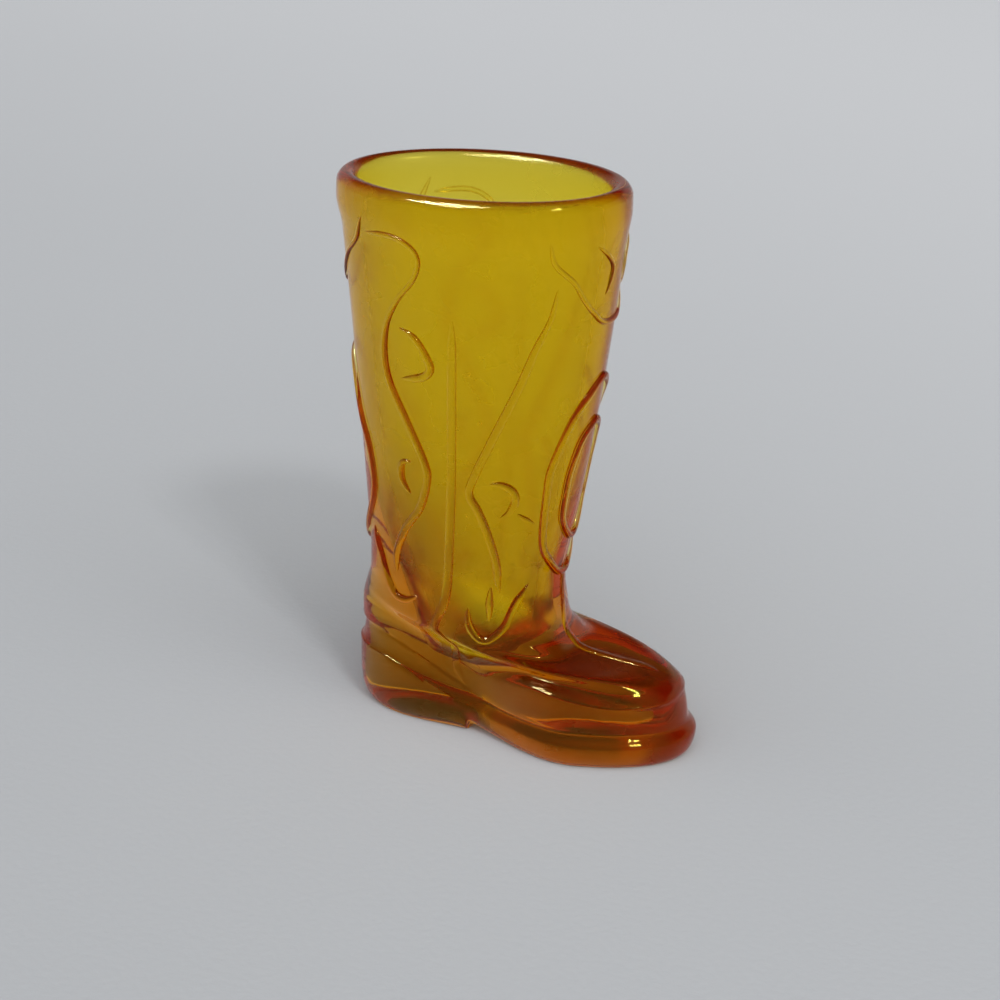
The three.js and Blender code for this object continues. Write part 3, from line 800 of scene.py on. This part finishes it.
# %% [markdown]
# ## Ridges
#
# A ridge in pressed glass has a round back, because the groove in the mould was cut with a round
# tool. Bump in the material could hint at it, but would not bend the light at the edge of the
# boot. So a ridge is an oval tube along its route, half sunk in the wall. The lines are finer
# towards the rim and fade out at their ends.

# %% Lines as oval tubes on the surface
LINE_WIDTH, LINE_HEIGHT = 1.35, 0.65
SEAM_WIDTH, SEAM_HEIGHT = 1.5, 0.3
LINE_STEP = 0.35
LINE_SIDES = 14
END_FADE, END_SIZE = 3.0, 0.01
TOP_SIZE, TOP_FADE = 0.6, (62.0, 74.0)


def bead(route, closed, width, height):
    """Oval tube whose middle line lies on the surface, so that half of it stands out.

    Each ring is the middle point plus a cosine share across the line and a sine share along
    the surface's normal. Open lines shrink towards both ends, as the root of the distance.
    """
    knots = np.array([(d, mix(ANKLE_LINE, LIP_LINE, p / 100)) for d, p in route])
    rough = through(knots, 60 * len(knots), closed)
    if closed:
        rough = np.concatenate([rough, rough[:1]])
    points, _ = surface_at(rough[:, 0], rough[:, 1])
    run = np.concatenate([[0], np.cumsum(np.linalg.norm(np.diff(points, axis=0), axis=1))])
    even = np.linspace(0, run[-1], max(int(run[-1] / LINE_STEP), 6) + 1)
    even = even[:-1] if closed else even
    degrees, level = (np.interp(even, run, rough[:, i]) for i in (0, 1))
    points, normals = surface_at(degrees, level)
    if closed:
        onward = np.roll(points, -1, 0) - np.roll(points, 1, 0)
        size = np.ones(len(even))
    else:
        onward = np.gradient(points, axis=0)
        size = np.sqrt(np.clip(np.minimum(even, even[-1] - even) / END_FADE, END_SIZE, 1))
    size = size * mix(1, TOP_SIZE, smooth(level, *TOP_FADE))
    across = np.cross(normals, onward)
    across = across / np.linalg.norm(across, axis=1, keepdims=True)
    turn = np.arange(LINE_SIDES) * 2 * np.pi / LINE_SIDES
    offset = (across[:, None] * np.cos(turn)[:, None] * width / 2
              + normals[:, None] * np.sin(turn)[:, None] * height)
    tube = points[:, None] + size[:, None, None] * offset
    ring = np.arange(tube.shape[0] * LINE_SIDES).reshape(-1, LINE_SIDES)
    low, high = (ring, np.roll(ring, -1, 0)) if closed else (ring[:-1], ring[1:])
    faces = np.stack([low, np.roll(low, -1, 1), np.roll(high, -1, 1), high], -1).reshape(-1, 4)
    caps = [] if closed else [ring[0, ::-1].tolist(), ring[-1].tolist()]
    return tube.reshape(-1, 3), faces.tolist() + caps


beads = {}
for name, (route, closed) in lines.items():
    size = (SEAM_WIDTH, SEAM_HEIGHT) if "seam" in name else (LINE_WIDTH, LINE_HEIGHT)
    beads[name] = bead(route, closed, *size)
print(len(beads), "tubes with", sum(len(faces) for _, faces in beads.values()), "faces")

# %% [markdown]
# ## One closed mesh
#
# Blender can bridge two rings of points, one pair at a time. Numbering all the points and writing
# the faces as whole arrays is quicker, and always gives the same mesh. The rows are stacked in
# the order of the path. The first and the last row lie on the middle line of the underside and
# of the well's floor, where the left and right halves share their points, so the mesh closes
# there without a hole or a pole. The underside and the well need only every fourth column.

# %% Mesh of the glass


def stitch(low, high):
    """Faces between two rings of point numbers: quads, or five-sided where one ring has half
    as many points as the other. A face runs round first and then up, so it looks outwards."""
    if len(low) == len(high):
        return np.stack([low, np.roll(low, -1), np.roll(high, -1), high], -1).tolist()
    if len(low) > len(high):
        ring = [low[::2], low[1::2], np.roll(low[::2], -1), np.roll(high, -1), high]
    else:
        ring = [low, np.roll(low, -1), np.roll(high[::2], -1), high[1::2], high[::2]]
    return np.stack(ring, -1).tolist()


ring_stack = [row[::COARSE] for row in base_rows[1:]] + [side_rows[0][::HALFWAY]]
ring_stack += list(side_rows[1:]) + list(welt_rows) + list(outer_rows) + list(lip_rows[1:-1])
ring_stack += [lip_rows[-1][::HALFWAY]] + [
    row[::COARSE] for row in np.concatenate([well_rows[1:], round_rows, floor_rows[:-1]])]
fold = np.minimum(np.arange(WELL_COLUMNS), WELL_COLUMNS - np.arange(WELL_COLUMNS))
spine = WELL_COLUMNS // 2 + 1
points = np.concatenate(
    [base_rows[0, ::COARSE][:spine]] + ring_stack + [floor_rows[-1, ::COARSE][:spine]])

starts = spine + np.cumsum([0] + [len(ring) for ring in ring_stack])
rings_of_points = [fold] + [
    start + np.arange(len(ring)) for start, ring in zip(starts, ring_stack)] + [starts[-1] + fold]
faces = []
for low, high in zip(rings_of_points[:-1], rings_of_points[1:]):
    faces += stitch(low, high)


def mesh_object(name, points, faces):
    """An object at the origin from points in millimetres, measured from the heel, and faces."""
    mesh = bpy.data.meshes.new(name)
    mesh.from_pydata(((points + (heel_low[0], 0, 0)) * MM).tolist(), [], faces)
    mesh.update()
    made = bpy.data.objects.new(name, mesh)
    bpy.context.scene.collection.objects.link(made)
    return made


boot = mesh_object("glass_boot", points, faces)
print(len(points), "points,", len(faces), "faces")

# %% [markdown]
# ## Joining the ridges
#
# The ridges are the same glass as the wall, so no face may be left between them. A Boolean union
# takes away what is sunk in the wall and closes the seam. Its result is kept as a plain mesh.
# Only hard corners, such as the edge of the underside, are then marked sharp.

# %% Join the lines to the glass
SHARP = math.radians(60)
cutters = [mesh_object(name, *shape) for name, shape in beads.items()]
for cutter in cutters:
    join = boot.modifiers.new(cutter.name, "BOOLEAN")
    join.operation = "UNION"
    join.solver = "MANIFOLD"
    join.object = cutter
evaluated = boot.evaluated_get(bpy.context.evaluated_depsgraph_get())
glass_mesh = bpy.data.meshes.new_from_object(evaluated)
boot.modifiers.clear()
boot.data = glass_mesh
for cutter in cutters:
    bpy.data.objects.remove(cutter)
glass_mesh.polygons.foreach_set("use_smooth", np.ones(len(glass_mesh.polygons), bool))
glass_mesh.set_sharp_from_angle(angle=SHARP)
glass_mesh.calc_loop_triangles()
print(len(glass_mesh.vertices), "points,", len(glass_mesh.loop_triangles), "triangles")

# %% [markdown]
# ## Pressed surfaces
#
# The outside of the boot is polished by fire after it leaves the mould. The well, which the
# plunger pressed, and the underside, which stands on things, stay a little dull. Two materials
# would split the glass, so a number on each point marks these places for the one material.

# %% Mark the well and the underside
WELL_MARGIN, FLOOR_MARGIN, BASE_MARGIN = 1.06, 0.1, 0.02
places = np.empty(3 * len(glass_mesh.vertices))
glass_mesh.vertices.foreach_get("co", places)
places = places.reshape(-1, 3) / MM - (heel_low[0], 0, 0)
around_well = dict(zip(SECTION, well_sections(np.maximum(places[:, 2], FLOOR_HEIGHT)).T))
middle = (around_well["back_x"] + around_well["front_x"]) / 2
reach = (around_well["front_x"] - around_well["back_x"]) / 2
off_axis = np.hypot((places[:, 0] - middle) / reach, places[:, 1] / around_well["half"])
in_well = (off_axis < WELL_MARGIN) & (places[:, 2] > FLOOR_HEIGHT - FLOOR_MARGIN)
underneath = places[:, 2] < arch(places[:, 0]) + BASE_MARGIN
pressed = glass_mesh.attributes.new("pressed", "FLOAT", "POINT")
pressed.data.foreach_set("value", (in_well | underneath).astype(np.float32))
print(int(in_well.sum()), "points on the well,", int(underneath.sum()), "on the underside")

# %% [markdown]
# ## Amber glass
#
# The colour of glass is in its depth. Tinting the surface would make every part the same amber.
# A Volume Absorption inside the mesh soaks up nearly all blue within a wall's thickness, some
# green, and hardly any red, so thin walls come out yellow and the thick foot orange-brown from
# one material. The surface is very smooth, with the faint waves that a mould and a plunger
# leave. The photograph shows hardly any blue on the glass, so what it mirrors is tinted too.

# %% Glass material
GLASS_IOR = 1.52
GLASS_DENSITY = 800.0
GLASS_PASSES = (0.990, 0.911, 0.0, 1)
MIRROR_TINT = (1.0, 0.87, 0.14, 1)
POLISHED, SMUDGED, PRESSED = 0.02, 0.05, 0.25

amber = bpy.data.materials.new("amber_glass")
tree = Tree(amber)
place = tree.node("ShaderNodeTexCoord", output="Object")
waves = tree.node("ShaderNodeTexNoise", {}, {"Vector": place, "Scale": 160.0, "Detail": 2.0})
grain = tree.node("ShaderNodeTexNoise", {}, {"Vector": place, "Scale": 1400.0, "Detail": 2.0})
surface = tree.node("ShaderNodeBump", {}, {
    "Strength": 0.25, "Distance": 0.0003, "Height": waves + grain * 0.02})
pressed_share = tree.node("ShaderNodeAttribute", {"attribute_name": "pressed"}, output="Fac")
smudge = tree.node("ShaderNodeTexNoise", {}, {"Vector": place, "Scale": 90.0, "Detail": 4.0})
skin = tree.node("ShaderNodeBsdfPrincipled", {}, {
    "Base Color": (1, 1, 1, 1), "IOR": GLASS_IOR, "Transmission Weight": 1.0,
    "Roughness": smudge.above(0.45, 0.8) * SMUDGED + POLISHED + pressed_share * PRESSED,
    "Specular Tint": MIRROR_TINT, "Normal": surface})
inside = tree.node("ShaderNodeVolumeAbsorption", {}, {
    "Color": GLASS_PASSES, "Density": GLASS_DENSITY})
tree.node("ShaderNodeOutputMaterial", {}, {"Surface": skin, "Volume": inside})
glass_mesh.materials.clear()
glass_mesh.materials.append(amber)
glass_mesh.polygons.foreach_set("material_index", np.zeros(len(glass_mesh.polygons), np.int32))
print("amber glass, IOR", GLASS_IOR)

# %% [markdown]
# ## Hand over
#
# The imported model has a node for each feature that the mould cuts. They could each be dressed,
# but on the real boot they are one piece, so the glass stands for all of them. It moves with
# the one body there is.

# %% Tie the glass to the model and finish
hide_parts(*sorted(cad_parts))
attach(boot, "root")
bpy.context.scene.view_settings.view_transform = "Standard"
